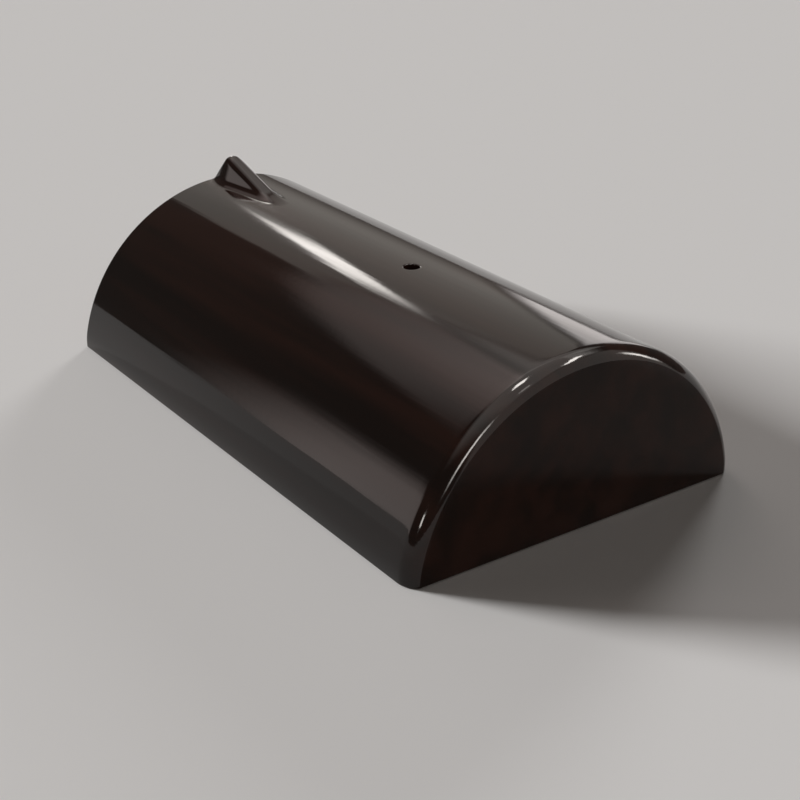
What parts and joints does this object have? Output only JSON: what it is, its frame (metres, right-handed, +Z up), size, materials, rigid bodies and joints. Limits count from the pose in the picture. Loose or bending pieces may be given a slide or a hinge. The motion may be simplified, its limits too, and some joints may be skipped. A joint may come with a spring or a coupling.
{
  "type": "glazed ridge tile",
  "caption": "Half-round glazed clay ridge tile with a closed flat end, an open end, a wedge-shaped stop nose and a nail hole on the crown; caps the ridge of a tiled roof.",
  "frame": {"origin": "middle of the rectangle that the tile covers on the floor, at the level of its base", "axes": "+X along the length from the open end to the closed end, +Y across the width, +Z up from the base to the crown"},
  "size_m": [0.4, 0.2398, 0.1234],
  "materials": {
    "glaze": "glossy brown-black glaze over fired clay"
  },
  "bodies": {
    "root": {"ridge_tile": "glaze"}
  },
  "joints": []
}
